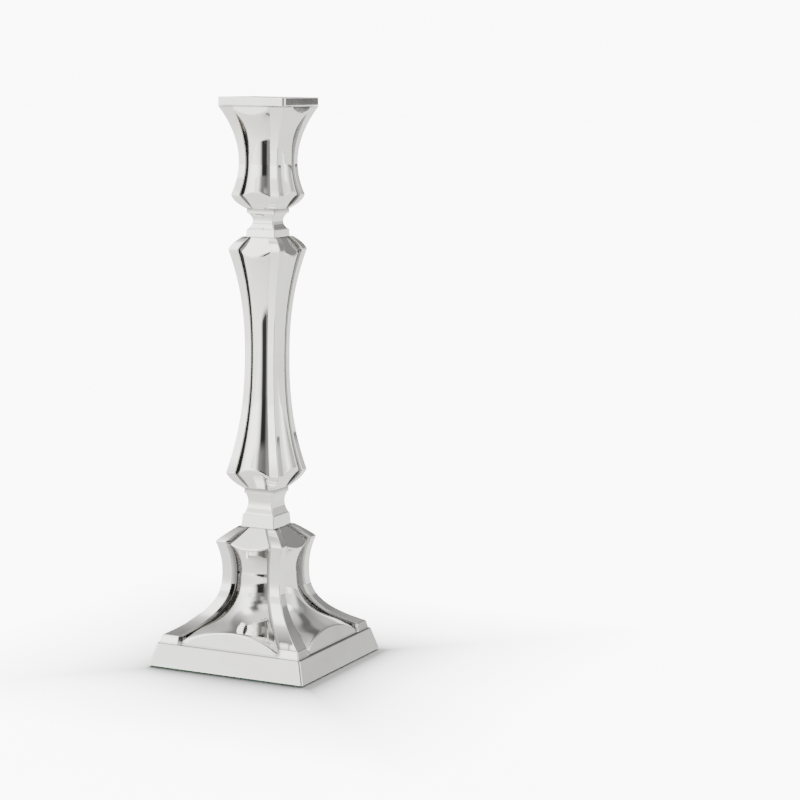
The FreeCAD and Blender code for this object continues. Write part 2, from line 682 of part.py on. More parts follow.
def make_nut(z):
    """Hexagon nut standing at z, corners turned off at both ends."""
    corner_r = NUT_ACROSS_FLATS / math.sqrt(3)
    corners = [FreeCAD.Vector(corner_r * math.cos(math.radians(60 * i)),
                              corner_r * math.sin(math.radians(60 * i)), z)
               for i in range(6)]
    prism = Part.Face(Part.makePolygon(corners + corners[:1])).extrude(
        FreeCAD.Vector(0, 0, NUT_HEIGHT))
    rise = corner_r - NUT_ACROSS_FLATS / 2
    turned = round_solid([[(z, NUT_ACROSS_FLATS / 2), (z + rise, corner_r)],
                          [(z + rise, corner_r), (z + NUT_HEIGHT - rise, corner_r)],
                          [(z + NUT_HEIGHT - rise, corner_r),
                           (z + NUT_HEIGHT, NUT_ACROSS_FLATS / 2)]])
    return prism.common(turned).cut(cylinder(ROD_R, z - OVERCUT, z + NUT_HEIGHT + OVERCUT))


# ---------------------------------------------------------------- write the sub-parts
os.makedirs("parts", exist_ok=True)
save("felt_pad", make_felt())
save("closing_plate", make_plate())
save("closing_screws", make_screws())
save("base_weight", make_weight())
save("plinth", make_plinth())
save("base_bell", make_bell())
save("neck_lower", make_lower_neck())
save("shaft_shell", make_shaft())
save("neck_upper", make_upper_neck())
save("socket_shell", make_socket())
save("tie_rod", make_rod())
save("bottom_nut", make_nut(pocket_roof() - WASHER_THICK - NUT_HEIGHT))
save("bottom_washer", make_washer(pocket_roof() - WASHER_THICK))
save("top_washer", make_washer(UPPER_WASHER_Z))
save("top_nut", make_nut(UPPER_WASHER_Z + WASHER_THICK))
save("nozzle_plate", make_rim())
save("candle_cup", make_cup())
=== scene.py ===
import math

import bmesh
import bpy
from mathutils import Matrix, Vector


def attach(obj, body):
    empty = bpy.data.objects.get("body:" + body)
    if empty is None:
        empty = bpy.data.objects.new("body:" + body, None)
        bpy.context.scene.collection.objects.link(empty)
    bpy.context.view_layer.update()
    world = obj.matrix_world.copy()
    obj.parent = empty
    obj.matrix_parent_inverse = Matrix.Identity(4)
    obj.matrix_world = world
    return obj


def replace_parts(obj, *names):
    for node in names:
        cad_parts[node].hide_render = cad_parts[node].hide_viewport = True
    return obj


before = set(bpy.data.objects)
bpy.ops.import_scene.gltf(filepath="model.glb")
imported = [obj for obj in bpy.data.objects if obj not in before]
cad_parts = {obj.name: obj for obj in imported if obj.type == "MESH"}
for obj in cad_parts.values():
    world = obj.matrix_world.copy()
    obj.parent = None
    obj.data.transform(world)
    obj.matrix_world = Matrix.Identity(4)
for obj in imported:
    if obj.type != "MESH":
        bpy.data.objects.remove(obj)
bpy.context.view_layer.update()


# ---- Plinth ------------------------------------------------------------------------------
# Battered square foot, cast in brass and silver plated. Its edges are eased by polishing, and
# the bell stands on its deck and is soldered to it.
MM = 0.001
PLINTH_LOW = 1.0
PLINTH_TOP = 12.85
PLINTH_HALF = 46.1
PLINTH_TOP_HALF = 42.45
PLINTH_EDGE = 0.6
PLINTH_CORNER = 1.0
PLINTH_DECK_RUN = 1.8
ARC_STEPS = 4
EASE_SHARE = 0.3
EASE_SUPPORT = 1.5
JOINT_REACH = 0.7
MERGE_DISTANCE = 1e-7
SHARP_ANGLE = math.radians(40)


def eased(points, radius, closed=False):
    """Outline with every corner rounded, and a point just before and after each rounding."""
    count = len(points)
    out = [] if closed else [points[0]]
    for i in range(0 if closed else 1, count if closed else count - 1):
        corner = Vector(points[i])
        before = Vector(points[i - 1]) - corner
        after = Vector(points[(i + 1) % count]) - corner
        reach = min(radius, EASE_SHARE * before.length, EASE_SHARE * after.length)
        start = corner + before.normalized() * reach
        end = corner + after.normalized() * reach
        out.append(tuple(corner + before.normalized() * reach * EASE_SUPPORT))
        for k in range(ARC_STEPS + 1):
            t = k / ARC_STEPS
            out.append(tuple(start * (1 - t) ** 2 + corner * 2 * t * (1 - t) + end * t * t))
        out.append(tuple(corner + after.normalized() * reach * EASE_SUPPORT))
    return out if closed else out + [points[-1]]


def square_ring(half, z, radius, joint_shade=0.0):
    """Square section with rounded corners at one level, marked with how much shade is
    painted onto it.
    """
    corners = [(-half, -half), (half, -half), (half, half), (-half, half)]
    return [(x, y, z, joint_shade) for x, y in eased(corners, radius, closed=True)]


# Its result is the shade painted along the joints between pieces.
def by_joint(z, low, high):
    """How close a level is to the joint at either end, from 0 to 1."""
    return max(0.0, 1 - min(z - low, high - z) / JOINT_REACH)


def round_ring(pattern, radius, z):
    """Circle with a point in the direction of each point of another ring."""
    return [(radius * p[0] / math.hypot(p[0], p[1]), radius * p[1] / math.hypot(p[0], p[1]), z)
            for p in pattern]


def skin(name, rings, ends=True):
    """Closed surface drawn through rings that all have the same number of points. After the
    first ring, a point's fourth number says how much shade is painted onto it, in a recess or
    at a joint."""
    bm = bmesh.new()
    painted_shade = bm.verts.layers.float.new("painted_shade")
    ring = [bm.verts.new(Vector(p[:3]) * MM) for p in rings[0]]
    edges = [bm.edges.new(pair) for pair in zip(ring, ring[1:] + ring[:1])]
    first = edges
    for points in rings[1:]:
        drawn = bmesh.ops.extrude_edge_only(bm, edges=edges)["geom"]
        fresh = {v for v in drawn if isinstance(v, bmesh.types.BMVert)}
        ring = [next(e.other_vert(v) for e in v.link_edges if e.other_vert(v) in fresh)
                for v in ring]
        for v, p in zip(ring, points):
            v.co = Vector(p[:3]) * MM
            v[painted_shade] = p[3] if len(p) > 3 else 0.0
        edges = [e for e in drawn if isinstance(e, bmesh.types.BMEdge)
                 and e.verts[0] in fresh and e.verts[1] in fresh]
    if ends:
        bmesh.ops.edgeloop_fill(bm, edges=first)
        bmesh.ops.edgeloop_fill(bm, edges=edges)
    else:
        bmesh.ops.bridge_loops(bm, edges=first + edges)
    return finished(name, bm)


def finished(name, bm):
    """Object made from a bmesh, smooth, with its normals outwards."""
    bmesh.ops.remove_doubles(bm, verts=bm.verts, dist=MERGE_DISTANCE)
    bmesh.ops.recalc_face_normals(bm, faces=bm.faces)
    for face in bm.faces:
        face.smooth = True
    mesh = bpy.data.meshes.new(name)
    bm.to_mesh(mesh)
    bm.free()
    mesh.set_sharp_from_angle(angle=SHARP_ANGLE)
    piece = bpy.data.objects.new(name, mesh)
    bpy.context.scene.collection.objects.link(piece)
    return piece


def linear(hex_colour):
    """Linear RGBA from an sRGB hex colour."""
    channels = [int(hex_colour[i:i + 2], 16) / 255 for i in (0, 2, 4)]
    return tuple(c / 12.92 if c <= 0.04045 else ((c + 0.055) / 1.055) ** 2.4
                 for c in channels) + (1.0,)


def add(tree, kind, settings=(), inputs=(), **links):
    """Adds a node, sets its properties and inputs, and links the rest by input name."""
    node = tree.nodes.new("ShaderNode" + kind)
    for key, value in dict(settings).items():
        setattr(node, key, value)
    for key, value in dict(inputs).items():
        node.inputs[key].default_value = value
    for key, source in links.items():
        tree.links.new(source, node.inputs[key.replace("_", " ")])
    return node


# In a colour Mix node, inputs 6 and 7 and output 2 are the two colours and the result.
#
# Silver plate, mirror polished by mop: bright and neutral, with a faint warm bloom, a
# slightly uneven shine and hairlines that run up the piece. Shade is painted into its
# recesses and joints as a darker grey.
SILVER = "F3F2EF"
SILVER_WARM = "E4E0D6"
SILVER_BLOOM = 18.0
SILVER_BLOOM_DETAIL = 5.0
SILVER_BLOOM_ROUGH = 0.55
SILVER_BLOOM_EDGES = (0.45, 0.75)
SILVER_WARMTH = 0.6
SILVER_SHINE_EDGES = (0.3, 0.7)
SILVER_ROUGHNESS = (0.035, 0.065)
SILVER_WAVE = 9.0
SILVER_WAVE_DETAIL = 1.0
SILVER_WAVE_DEPTH = 0.004
HAIRLINE_WIDTH = 0.7
HAIRLINE_DETAIL = 2.0
HAIRLINE_DEPTH = 0.0002
HAIRLINE_SQUEEZE = 0.03
HAIRLINE_STRENGTH = 0.5
# Painted shade: the dark grey that the silver is mixed towards in recesses and joints.
SILVER_PAINTED_SHADE = "2E2D2B"
RECESS_DARK = 0.8


def silver_material():
    """Polished silver plate."""
    material = bpy.data.materials.new("silver plate, mop polished")
    material.use_nodes = True
    tree = material.node_tree
    tree.nodes.clear()
    place = add(tree, "TexCoord").outputs["Object"]
    bloom = add(tree, "TexNoise", inputs={"Scale": 1 / (SILVER_BLOOM * MM),
                                          "Detail": SILVER_BLOOM_DETAIL,
                                          "Roughness": SILVER_BLOOM_ROUGH}, Vector=place)
    tint = add(tree, "MapRange", inputs={"From Min": SILVER_BLOOM_EDGES[0],
                                         "From Max": SILVER_BLOOM_EDGES[1],
                                         "To Max": SILVER_WARMTH}, Value=bloom.outputs["Fac"])
    colour = add(tree, "Mix", {"data_type": "RGBA"}, Factor=tint.outputs["Result"])
    colour.inputs[6].default_value = linear(SILVER)
    colour.inputs[7].default_value = linear(SILVER_WARM)
    shine = add(tree, "MapRange", inputs={"From Min": SILVER_SHINE_EDGES[0],
                                          "From Max": SILVER_SHINE_EDGES[1],
                                          "To Min": SILVER_ROUGHNESS[0],
                                          "To Max": SILVER_ROUGHNESS[1]},
                Value=bloom.outputs["Fac"])
    wave = add(tree, "TexNoise", inputs={"Scale": 1 / (SILVER_WAVE * MM),
                                         "Detail": SILVER_WAVE_DETAIL}, Vector=place)
    uneven = add(tree, "Bump", inputs={"Distance": SILVER_WAVE_DEPTH * MM, "Strength": 1.0},
                 Height=wave.outputs["Fac"])
    drawn = add(tree, "Mapping", inputs={"Scale": (1.0, 1.0, HAIRLINE_SQUEEZE)}, Vector=place)
    hairs = add(tree, "TexNoise", inputs={"Scale": 1 / (HAIRLINE_WIDTH * MM),
                                          "Detail": HAIRLINE_DETAIL},
                Vector=drawn.outputs["Vector"])
    relief = add(tree, "Bump", inputs={"Distance": HAIRLINE_DEPTH * MM,
                                       "Strength": HAIRLINE_STRENGTH},
                 Height=hairs.outputs["Fac"], Normal=uneven.outputs["Normal"])
    # Painted shade: each point's stored amount darkens the colour towards the dark grey.
    inside = add(tree, "Attribute", {"attribute_name": "painted_shade"})
    patch = add(tree, "Math", {"operation": "MULTIPLY"})
    tree.links.new(inside.outputs["Fac"], patch.inputs[0])
    patch.inputs[1].default_value = RECESS_DARK
    shaded_colour = add(tree, "Mix", {"data_type": "RGBA"}, Factor=patch.outputs["Value"])
    tree.links.new(colour.outputs[2], shaded_colour.inputs[6])
    shaded_colour.inputs[7].default_value = linear(SILVER_PAINTED_SHADE)
    shader = add(tree, "BsdfPrincipled", inputs={"Metallic": 1.0},
                 Base_Color=shaded_colour.outputs[2], Roughness=shine.outputs["Result"],
                 Normal=relief.outputs["Normal"])
    add(tree, "OutputMaterial", Surface=shader.outputs["BSDF"])
    return material


silver = silver_material()

plinth_side = eased([(PLINTH_HALF - PLINTH_EDGE, PLINTH_LOW), (PLINTH_HALF, PLINTH_LOW),
                     (PLINTH_TOP_HALF, PLINTH_TOP),
                     (PLINTH_TOP_HALF - PLINTH_DECK_RUN, PLINTH_TOP)], PLINTH_EDGE)
# Only the deck takes painted shade from a joint: the joint below is put at the table, out
# of reach.
plinth = skin("plinth_plate", [square_ring(half, z, PLINTH_CORNER, by_joint(z, 0.0, PLINTH_TOP))
                               for half, z in plinth_side])
plinth.data.materials.append(silver)
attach(plinth, "candlestick")
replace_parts(plinth, "plinth")


# ---- Felt --------------------------------------------------------------------------------
# Green wool baize under the foot, glued on. It is cut a little smaller than the foot, and its
# nap is short and dense.
FELT_HALF = 45.2
FELT_THICK = 1.0
FELT_EDGE = 0.3
FELT_RUN = 1.0
FELT_CORNER = 1.0
BAIZE = "1F3A2A"
BAIZE_NAP = "3F6249"
NAP_SIZE = 0.5
NAP_DETAIL = 4.0
WOOL_SIZE = 4.0
WOOL_DETAIL = 3.0
MOTTLE_EDGES = (0.12, 0.4)
NAP_DEPTH = 0.12
NAP_STRENGTH = 0.8
BAIZE_ROUGHNESS = 0.95
BAIZE_SHEEN = 0.4

felt_side = eased([(FELT_HALF - FELT_RUN, 0.0), (FELT_HALF, 0.0), (FELT_HALF, FELT_THICK),
                   (FELT_HALF - FELT_RUN, FELT_THICK)], FELT_EDGE)
felt = skin("felt_baize", [square_ring(half, z, FELT_CORNER) for half, z in felt_side])

baize = bpy.data.materials.new("wool baize, napped")
baize.use_nodes = True
tree = baize.node_tree
tree.nodes.clear()
place = add(tree, "TexCoord").outputs["Object"]
nap = add(tree, "TexNoise", inputs={"Scale": 1 / (NAP_SIZE * MM), "Detail": NAP_DETAIL},
          Vector=place)
wool = add(tree, "TexNoise", inputs={"Scale": 1 / (WOOL_SIZE * MM), "Detail": WOOL_DETAIL},
           Vector=place)
mottle = add(tree, "Math", {"operation": "MULTIPLY"})
tree.links.new(nap.outputs["Fac"], mottle.inputs[0])
tree.links.new(wool.outputs["Fac"], mottle.inputs[1])
shade = add(tree, "MapRange", inputs={"From Min": MOTTLE_EDGES[0], "From Max": MOTTLE_EDGES[1]},
            Value=mottle.outputs["Value"])
green = add(tree, "Mix", {"data_type": "RGBA"}, Factor=shade.outputs["Result"])
green.inputs[6].default_value = linear(BAIZE)
green.inputs[7].default_value = linear(BAIZE_NAP)
fuzz = add(tree, "Bump", inputs={"Distance": NAP_DEPTH * MM, "Strength": NAP_STRENGTH},
           Height=nap.outputs["Fac"])
shader = add(tree, "BsdfPrincipled", inputs={"Roughness": BAIZE_ROUGHNESS,
                                             "Sheen Weight": BAIZE_SHEEN},
             Base_Color=green.outputs[2], Normal=fuzz.outputs["Normal"])
add(tree, "OutputMaterial", Surface=shader.outputs["BSDF"])
felt.data.materials.append(baize)
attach(felt, "candlestick")
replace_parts(felt, "felt_pad")


# ---- Bell --------------------------------------------------------------------------------
# Bell-shaped base, cast in brass and plated: a round trumpet that shows between four mitred
# corner ribs, with battered lunettes at its foot and sloping tongues at its shoulder.
BELL_LOW = 12.85
BELL_TOP = 73.2
BELL_WAIST = 49.85
BELL_SHOULDER = 65.8
BELL_BLOCK = 16.95
BELL_CREASE = 62.7
BELL_RIB_FOOT = 41.5
BELL_RIB_BLOCK = 40.4
BELL_RIB_WAIST = 17.3
BELL_RIB_SHOULDER = 20.0
BELL_RIB_TOP = 11.3
BELL_RIB_BULGE = 0.4
BELL_PANEL_FOOT = 30.6
BELL_PANEL_WAIST = 11.4
BELL_PANEL_SHOULDER = 13.9
BELL_PANEL_TOP = 6.9
BELL_BODY_WAIST = 16.5
BELL_BODY_SHOULDER = 22.9
BELL_FLARE_POWER = 2.8
WAIST_POWER = 2.0
LUNETTE_FOOT = (BELL_LOW, 40.6)
LUNETTE_TOP = (24.7, 36.95)
BELL_TONGUE_TOP = 9.85
BELL_SPACING = 0.4
RIB_EASE = 0.42
BAND_WIDTH = 2.3
BAND_SHALLOW = 0.4
BAND_DEEP = 1.2
BAND_SHALLOW_SHARE = 0.35
BAND_DEEP_SHARE = 0.75
LEAST_DROP = 0.1
RECESS_REACH = 0.4
RECESS_DEPTH = 0.8
CREASE_EASE = 0.5
PANEL_POINTS = 14
KINK_WINDOW = 0.45
KINK_STEPS = 4
EDGE_SPACING = 0.11
EDGE_LEVELS = 6
EDGE_CLEAR = 0.7


def swept(z, waist_z, waist, end_z, end, power):
    """Half width at a height, leaving a waist upright and spreading to an edge."""
    return waist + (end - waist) * ((z - waist_z) / (end_z - waist_z)) ** power


def line(z, start, end):
    """Straight line between two (height, half width) points, carried on past both."""
    return start[1] + (end[1] - start[1]) * (z - start[0]) / (end[0] - start[0])


def bowed(z, start, end, bulge):
    """Line between two points, bowed outwards in the middle."""
    share = (z - start[0]) / (end[0] - start[0])
    return line(z, start, end) + 4 * bulge * share * (1 - share)


def through(points):
    """Smooth curve through (height, half width) points."""
    def slope(i):
        low, high = max(i - 1, 0), min(i + 1, len(points) - 1)
        return (points[high][1] - points[low][1]) / (points[high][0] - points[low][0])

    def value(z):
        i = max(k for k in range(len(points) - 1) if k == 0 or points[k][0] <= z)
        (z0, h0), (z1, h1) = points[i], points[i + 1]
        gap, t = z1 - z0, (z - z0) / (z1 - z0)
        return ((2 * t ** 3 - 3 * t ** 2 + 1) * h0 + (t ** 3 - 2 * t ** 2 + t) * gap * slope(i)
                + (3 * t ** 2 - 2 * t ** 3) * h1 + (t ** 3 - t ** 2) * gap * slope(i + 1))
    return value


def softened(profile, z, low, high):
    """Profile averaged over a short height, so that its edges come out slightly round."""
    window = min(KINK_WINDOW, z - low, high - z)
    if window <= 0:
        return profile(z)
    samples = [profile(z + window * k / KINK_STEPS) for k in range(-KINK_STEPS, KINK_STEPS + 1)]
    return (sum(samples) - (samples[0] + samples[-1]) / 2) / (2 * KINK_STEPS)


def smaller(a, b, ease):
    """The smaller of two values, eased where they cross."""
    share = max(ease - abs(a - b), 0) / ease
    return min(a, b) - share * share * ease / 4


def ribbed_ring(z, rib, panel, body, limit, joint_shade, banded):
    """One level of a round body, held inside a limit, with a rib at each corner. Where it is
    banded, a shallow slanted band runs inside each rib."""
    inner = panel - BAND_WIDTH if banded else panel
    half_side = []
    for k in range(PANEL_POINTS + 1):
        u = inner * k / PANEL_POINTS
        half_side.append((u, smaller(math.sqrt(body * body - u * u), limit, CREASE_EASE)))
    half_side[-1] = (inner, min(half_side[-1][1], rib - LEAST_DROP))
    drop = rib - half_side[-1][1]
    if banded:
        half_side += [(inner, rib - min(BAND_DEEP, BAND_DEEP_SHARE * drop)),
                      (panel, rib - min(BAND_SHALLOW, BAND_SHALLOW_SHARE * drop))]
    half_side += [(panel, rib), (rib, rib)]
    tail = eased(half_side[PANEL_POINTS - 1:] + [(rib, 0.0)], RIB_EASE)
    past_corner = ARC_STEPS // 2 + 2
    *plain, diagonal = half_side[:PANEL_POINTS] + tail[1:len(tail) - past_corner]
    side = [(-diagonal[0], diagonal[1])] + [(-u, v) for u, v in reversed(plain[1:])] + plain

    # Painted shade on the walls beside each panel, darker the deeper the wall, and at the joints.
    def recess_shade(u, v):
        beside = max(abs(u) - panel, inner - abs(u), 0.0)
        depth = min(1.0, max(0.0, rib - v) / RECESS_DEPTH)
        return max(joint_shade, max(0.0, 1 - beside / RECESS_REACH) * depth)

    ring = []
    for c, s in ((1, 0), (0, 1), (-1, 0), (0, -1)):
        ring += [(u * c + v * s, u * s - v * c, z, recess_shade(u, v)) for u, v in side]
    return ring


def levels(low, high, spacing, edges):
    """Heights from low to high, close together round each edge."""
    found = {low, high}
    count = round((high - low) / spacing)
    found |= {low + (high - low) * k / count for k in range(1, count)}
    for edge in edges:
        found = {z for z in found if abs(z - edge) > EDGE_CLEAR or z in (low, high)}
        found |= {edge + EDGE_SPACING * k for k in range(-EDGE_LEVELS, EDGE_LEVELS + 1)}
    return sorted(z for z in found if low <= z <= high)


def bell_rib(z):
    """Half width of the bell's ribs."""
    if z < BELL_BLOCK:
        return line(z, (BELL_LOW, BELL_RIB_FOOT), (BELL_BLOCK, BELL_RIB_BLOCK))
    if z < BELL_WAIST:
        return swept(z, BELL_WAIST, BELL_RIB_WAIST, BELL_BLOCK, BELL_RIB_BLOCK,
                     BELL_FLARE_POWER)
    if z < BELL_SHOULDER:
        return swept(z, BELL_WAIST, BELL_RIB_WAIST, BELL_SHOULDER, BELL_RIB_SHOULDER,
                     WAIST_POWER)
    return bowed(z, (BELL_SHOULDER, BELL_RIB_SHOULDER), (BELL_TOP, BELL_RIB_TOP),
                 BELL_RIB_BULGE)


def bell_panel(z):
    """Half width of the bell's panels."""
    if z < BELL_BLOCK:
        return BELL_PANEL_FOOT
    if z < BELL_WAIST:
        return swept(z, BELL_WAIST, BELL_PANEL_WAIST, BELL_BLOCK, BELL_PANEL_FOOT,
                     BELL_FLARE_POWER)
    if z < BELL_SHOULDER:
        return swept(z, BELL_WAIST, BELL_PANEL_WAIST, BELL_SHOULDER, BELL_PANEL_SHOULDER,
                     WAIST_POWER)
    return line(z, (BELL_SHOULDER, BELL_PANEL_SHOULDER), (BELL_TOP, BELL_PANEL_TOP))


# The trumpet's radius by height, from its foot to its waist.
bell_trumpet = through([(12.85, 51.0), (16.88, 46.0), (20.88, 38.99), (24.95, 30.2),
                        (28.95, 24.3), (33.94, 20.12), (39.86, 17.54), (49.85, 16.5)])


def bell_body(z):
    """Radius of the bell's round body."""
    if z < BELL_WAIST:
        return bell_trumpet(z)
    return swept(z, BELL_WAIST, BELL_BODY_WAIST, BELL_SHOULDER, BELL_BODY_SHOULDER, WAIST_POWER)


def bell_limit(z):
    """Distance of the lunettes and the tongues from the axis."""
    tongue = line(z, (BELL_CREASE, bell_body(BELL_CREASE)), (BELL_TOP, BELL_TONGUE_TOP))
    return min(line(z, LUNETTE_FOOT, LUNETTE_TOP), tongue)


def shell_rings(low, high, spacing, edges, rib, panel, body, limit, banded=False):
    """Rings of a ribbed shell from its bottom to its top."""
    return [ribbed_ring(z, softened(rib, z, low, high), softened(panel, z, low, high), body(z),
                        limit(z), by_joint(z, low, high), banded)
            for z in levels(low, high, spacing, edges)]


bell = skin("bell_ribbed", shell_rings(BELL_LOW, BELL_TOP, BELL_SPACING,
                                       (BELL_BLOCK, BELL_SHOULDER), bell_rib, bell_panel,
                                       bell_body, bell_limit, banded=True))
bell.data.materials.append(silver)
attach(bell, "candlestick")
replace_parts(bell, "base_bell")


# ---- Necks -------------------------------------------------------------------------------
# Two square knops, cast and plated, that part the bell, the shaft and the socket. Each is a
# block, a hollowed waist and a plate, and its spigots sit in the pieces above and below.
NECK_EASE = 0.5
NECK_STEP = 0.45
NECK_SWEEP_POINTS = 10
NECK_EDGE = 0.25


def neck(name, low, block, block_top, block_high, waist, waist_high, plate, plate_thick, high):
    """Square knop from its levels and half widths."""
    block_z, waist_z, plate_z = low + block_high, low + waist_high, high - plate_thick
    side = [(block, low), (block_top, block_z)]
    for k in range(NECK_SWEEP_POINTS + 1):
        z = block_z + (waist_z - block_z) * k / NECK_SWEEP_POINTS
        side.append((swept(z, waist_z, waist, block_z, block_top - NECK_STEP, WAIST_POWER), z))
    for k in range(1, NECK_SWEEP_POINTS + 1):
        z = waist_z + (plate_z - waist_z) * k / NECK_SWEEP_POINTS
        side.append((swept(z, waist_z, waist, plate_z, plate - NECK_STEP, WAIST_POWER), z))
    side += [(plate, plate_z), (plate, high)]
    piece = skin(name, [square_ring(half, z, NECK_EASE, by_joint(z, low, high))
                        for half, z in eased(side, NECK_EDGE)])
    piece.data.materials.append(silver)
    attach(piece, "candlestick")
    return piece


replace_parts(neck("knop_lower", low=73.2, block=9.85, block_top=9.35, block_high=6.4, waist=7.3,
                 waist_high=13.0, plate=8.85, plate_thick=2.7, high=93.7), "neck_lower")
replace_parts(neck("knop_upper", low=227.5, block=8.6, block_top=8.4, block_high=3.8, waist=6.0,
                 waist_high=8.1, plate=8.35, plate_thick=2.3, high=242.0), "neck_upper")


# ---- Shaft -------------------------------------------------------------------------------
# Long waisted shaft, cast and plated, with the same round body and corner ribs as the bell.
# It is clamped between the knops by the tie rod.
SHAFT_LOW = 93.7
SHAFT_TOP = 227.5
SHAFT_WAIST = 165.0
SHAFT_LOW_EDGE = 102.4
SHAFT_HIGH_EDGE = 220.6
SHAFT_POWER = 2.3
SHAFT_RIB_FOOT = 9.3
SHAFT_RIB_LOW = 16.0
SHAFT_RIB_WAIST = 8.87
SHAFT_RIB_HIGH = 15.4
SHAFT_RIB_TOP = 9.9
SHAFT_BULGE = 0.9
SHAFT_PANEL_END = 5.6
SHAFT_PANEL_LOW = 10.4
SHAFT_PANEL_WAIST = 4.9
SHAFT_PANEL_HIGH = 9.6
SHAFT_BODY_LOW = 17.3
SHAFT_BODY_WAIST = 9.25
SHAFT_BODY_HIGH = 16.4
SHAFT_LOW_CREASE = 104.6
SHAFT_HIGH_CREASE = 217.7
SHAFT_TONGUE_LOW = 8.85
SHAFT_TONGUE_HIGH = 8.6
SHAFT_SPACING = 0.9


def shaft_sweep(z, waist, low, high):
    """Waisted curve from the lower edge to the upper, carried on past both."""
    if z < SHAFT_WAIST:
        return swept(z, SHAFT_WAIST, waist, SHAFT_LOW_EDGE, low, SHAFT_POWER)
    return swept(z, SHAFT_WAIST, waist, SHAFT_HIGH_EDGE, high, SHAFT_POWER)


def shaft_rib(z):
    """Half width of the shaft's ribs."""
    if z < SHAFT_LOW_EDGE:
        return bowed(z, (SHAFT_LOW, SHAFT_RIB_FOOT), (SHAFT_LOW_EDGE, SHAFT_RIB_LOW),
                     SHAFT_BULGE)
    if z > SHAFT_HIGH_EDGE:
        return bowed(z, (SHAFT_HIGH_EDGE, SHAFT_RIB_HIGH), (SHAFT_TOP, SHAFT_RIB_TOP),
                     SHAFT_BULGE)
    return shaft_sweep(z, SHAFT_RIB_WAIST, SHAFT_RIB_LOW, SHAFT_RIB_HIGH)


def shaft_panel(z):
    """Half width of the shaft's panels."""
    if z < SHAFT_LOW_EDGE:
        return line(z, (SHAFT_LOW, SHAFT_PANEL_END), (SHAFT_LOW_EDGE, SHAFT_PANEL_LOW))
    if z > SHAFT_HIGH_EDGE:
        return line(z, (SHAFT_HIGH_EDGE, SHAFT_PANEL_HIGH), (SHAFT_TOP, SHAFT_PANEL_END))
    return shaft_sweep(z, SHAFT_PANEL_WAIST, SHAFT_PANEL_LOW, SHAFT_PANEL_HIGH)


def shaft_body(z):
    """Radius of the shaft's round body."""
    return shaft_sweep(z, SHAFT_BODY_WAIST, SHAFT_BODY_LOW, SHAFT_BODY_HIGH)


def shaft_limit(z):
    """Distance of the shaft's tongues from the axis."""
    return min(line(z, (SHAFT_LOW, SHAFT_TONGUE_LOW),
                    (SHAFT_LOW_CREASE, shaft_body(SHAFT_LOW_CREASE))),
               line(z, (SHAFT_HIGH_CREASE, shaft_body(SHAFT_HIGH_CREASE)),
                    (SHAFT_TOP, SHAFT_TONGUE_HIGH)))


shaft = skin("shaft_ribbed", shell_rings(SHAFT_LOW, SHAFT_TOP, SHAFT_SPACING,
                                         (SHAFT_LOW_EDGE, SHAFT_HIGH_EDGE),
                                         shaft_rib, shaft_panel, shaft_body, shaft_limit))
shaft.data.materials.append(silver)
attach(shaft, "candlestick")
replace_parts(shaft, "shaft_shell")


# ---- Socket ------------------------------------------------------------------------------
# Vase-shaped socket, cast and plated. Upright lens panels meet the rim, and a bored seat takes
# the candle cup, with a well below it for the rod's nut.
SOCKET_LOW = 242.0
SOCKET_TOP = 295.5
SOCKET_WAIST = 266.5
SOCKET_EDGE = 249.5
SOCKET_RIB_FOOT = 8.6
SOCKET_RIB_EDGE = 14.4
SOCKET_RIB_WAIST = 11.5
SOCKET_RIB_TOP = 19.6
SOCKET_BULGE = 1.2
SOCKET_PANEL_FOOT = 4.6
SOCKET_PANEL_EDGE = 9.2
SOCKET_PANEL_WAIST = 7.1
SOCKET_PANEL_TOP = 11.2
SOCKET_BODY_EDGE = 15.3
SOCKET_BODY_WAIST = 12.3
SOCKET_BODY_TOP = 24.3
SOCKET_BODY_POWER = 3.0
SOCKET_CREASE = 251.0
SOCKET_TONGUE_FOOT = 8.35
SOCKET_LENS = 19.4
SOCKET_SPACING = 0.5
SOCKET_LAND = 3.0
SOCKET_BORE_EASE = 0.4
SOCKET_SEAT = (11.8, 276.0)
SOCKET_WELL = (10.4, 249.0)


def socket_rib(z):
    """Half width of the socket's ribs."""
    if z < SOCKET_EDGE:
        return bowed(z, (SOCKET_LOW, SOCKET_RIB_FOOT), (SOCKET_EDGE, SOCKET_RIB_EDGE),
                     SOCKET_BULGE)
    if z < SOCKET_WAIST:
        return swept(z, SOCKET_WAIST, SOCKET_RIB_WAIST, SOCKET_EDGE, SOCKET_RIB_EDGE,
                     WAIST_POWER)
    return swept(z, SOCKET_WAIST, SOCKET_RIB_WAIST, SOCKET_TOP, SOCKET_RIB_TOP, WAIST_POWER)


def socket_panel(z):
    """Half width of the socket's panels."""
    if z < SOCKET_EDGE:
        return line(z, (SOCKET_LOW, SOCKET_PANEL_FOOT), (SOCKET_EDGE, SOCKET_PANEL_EDGE))
    if z < SOCKET_WAIST:
        return swept(z, SOCKET_WAIST, SOCKET_PANEL_WAIST, SOCKET_EDGE, SOCKET_PANEL_EDGE,
                     WAIST_POWER)
    return swept(z, SOCKET_WAIST, SOCKET_PANEL_WAIST, SOCKET_TOP, SOCKET_PANEL_TOP,
                 WAIST_POWER)


def socket_body(z):
    """Radius of the socket's round body."""
    if z < SOCKET_WAIST:
        return swept(z, SOCKET_WAIST, SOCKET_BODY_WAIST, SOCKET_EDGE, SOCKET_BODY_EDGE,
                     WAIST_POWER)
    return swept(z, SOCKET_WAIST, SOCKET_BODY_WAIST, SOCKET_TOP, SOCKET_BODY_TOP,
                 SOCKET_BODY_POWER)


def socket_limit(z):
    """Distance of the lens panels and the bowl's tongues from the axis."""
    tongue = line(z, (SOCKET_LOW, SOCKET_TONGUE_FOOT), (SOCKET_CREASE, socket_body(SOCKET_CREASE)))
    return min(tongue, SOCKET_LENS)


